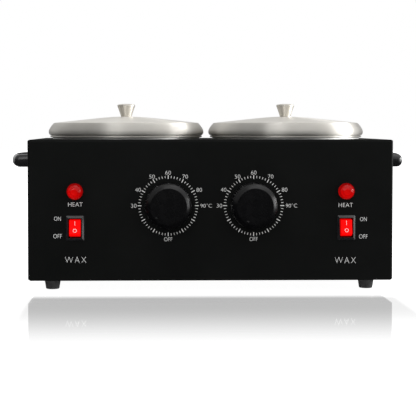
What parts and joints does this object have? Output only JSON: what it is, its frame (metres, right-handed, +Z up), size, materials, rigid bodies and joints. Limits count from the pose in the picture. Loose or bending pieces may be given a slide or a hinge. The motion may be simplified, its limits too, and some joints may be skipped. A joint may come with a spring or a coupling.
{
  "type": "double wax warmer pot",
  "caption": "Counter-top double wax warmer: a black sheet-metal case with side handles, two lidded aluminium pots in heated wells, two dials, rocker switches and lamps, and a mains lead.",
  "frame": {"origin": "on the surface that the feet stand on, under the middle of the box round the appliance without its free cord", "axes": "+X to the right as seen from the front, +Y from the front panel to the rear, +Z up"},
  "size_m": [0.348, 0.3073, 0.1595],
  "materials": {
    "case_paint": "semi-gloss black powder coat",
    "zinc_sheet": "zinc-plated sheet",
    "black_screw": "black-oxide steel",
    "steel_screw": "bright zinc plating",
    "foot_rubber": "matt",
    "handle_plastic": "fine satin black bakelite",
    "spun_aluminium": "spun, satin",
    "well_aluminium": "dull drawn",
    "turned_aluminium": "turned, bright",
    "heater_mica": "mica-faced band",
    "glass_wool": "glass-fibre blanket",
    "phenolic": "moulded",
    "copper": "bright copper",
    "dial_plastic": "gloss black",
    "brass_parts": "turned brass",
    "red_lens": "clear red, gloss",
    "nylon": "natural nylon",
    "switch_black": "satin moulded nylon",
    "rocker_red": "clear red, gloss",
    "wire_red": "silicone sleeve",
    "cord_pvc": "soft black PVC",
    "panel_print": "screen-printed light grey ink"
  },
  "bodies": {
    "case": {"case_shell": "case_paint", "base_plate": "zinc_sheet", "case_screws": "black_screw", "feet": "foot_rubber", "foot_screws": "steel_screw", "foot_nuts": "steel_screw", "left_handle": "handle_plastic", "right_handle": "handle_plastic", "handle_screws": "steel_screw", "left_well": "well_aluminium", "right_well": "well_aluminium", "left_heater_band": "heater_mica", "right_heater_band": "heater_mica", "left_insulation": "glass_wool", "right_insulation": "glass_wool", "left_thermostat": "phenolic", "right_thermostat": "phenolic", "thermostat_screws": "steel_screw", "left_sensor_bulb": "copper", "right_sensor_bulb": "copper", "left_lamp_lens": "red_lens", "right_lamp_lens": "red_lens", "left_lamp_body": "nylon", "right_lamp_body": "nylon", "lamp_nuts": "nylon", "left_switch_housing": "switch_black", "right_switch_housing": "switch_black", "switch_terminals": "brass_parts", "terminal_block": "nylon", "terminal_screws": "brass_parts", "earth_screw": "brass_parts", "left_wiring": "wire_red", "right_wiring": "wire_red", "strain_relief": "cord_pvc", "power_cord": "cord_pvc", "cord_coil": "cord_pvc", "cord_tail": "cord_pvc", "cord_tie": "cord_pvc", "plug_body": "cord_pvc", "plug_blades": "brass_parts", "plug_earth_pin": "brass_parts"},
    "left_pot": {"left_pot": "spun_aluminium"},
    "left_lid": {"left_lid": "spun_aluminium", "left_lid_knob": "turned_aluminium", "left_lid_screw": "steel_screw"},
    "left_dial": {"left_dial_knob": "dial_plastic", "left_spindle": "brass_parts"},
    "left_rocker": {"left_rocker": "rocker_red"},
    "right_pot": {"right_pot": "spun_aluminium"},
    "right_lid": {"right_lid": "spun_aluminium", "right_lid_knob": "turned_aluminium", "right_lid_screw": "steel_screw"},
    "right_dial": {"right_dial_knob": "dial_plastic", "right_spindle": "brass_parts"},
    "right_rocker": {"right_rocker": "rocker_red"}
  },
  "joints": [
    {"name": "left_pot_lift", "type": "slide", "parent": "case", "child": "left_pot", "axis": [0, 0, 1], "range_m": [0, 0.1]},
    {"name": "left_lid_lift", "type": "slide", "parent": "left_pot", "child": "left_lid", "axis": [0, 0, 1], "range_m": [0, 0.06]},
    {"name": "left_dial_turn", "type": "hinge", "parent": "case", "child": "left_dial", "pos_m": [-0.036, -0.0773, 0.0722], "axis": [0, 1, 0], "range_deg": [-47, 223]},
    {"name": "left_rocker_press", "type": "hinge", "parent": "case", "child": "left_rocker", "pos_m": [-0.1143, -0.0753, 0.0535], "axis": [1, 0, 0], "range_deg": [0, 22]},
    {"name": "right_pot_lift", "type": "slide", "parent": "case", "child": "right_pot", "axis": [0, 0, 1], "range_m": [0, 0.1]},
    {"name": "right_lid_lift", "type": "slide", "parent": "right_pot", "child": "right_lid", "axis": [0, 0, 1], "range_m": [0, 0.06]},
    {"name": "right_dial_turn", "type": "hinge", "parent": "case", "child": "right_dial", "pos_m": [0.036, -0.0773, 0.0722], "axis": [0, 1, 0], "range_deg": [-26, 244]},
    {"name": "right_rocker_press", "type": "hinge", "parent": "case", "child": "right_rocker", "pos_m": [0.1143, -0.0753, 0.0535], "axis": [1, 0, 0], "range_deg": [0, 22]}
  ]
}
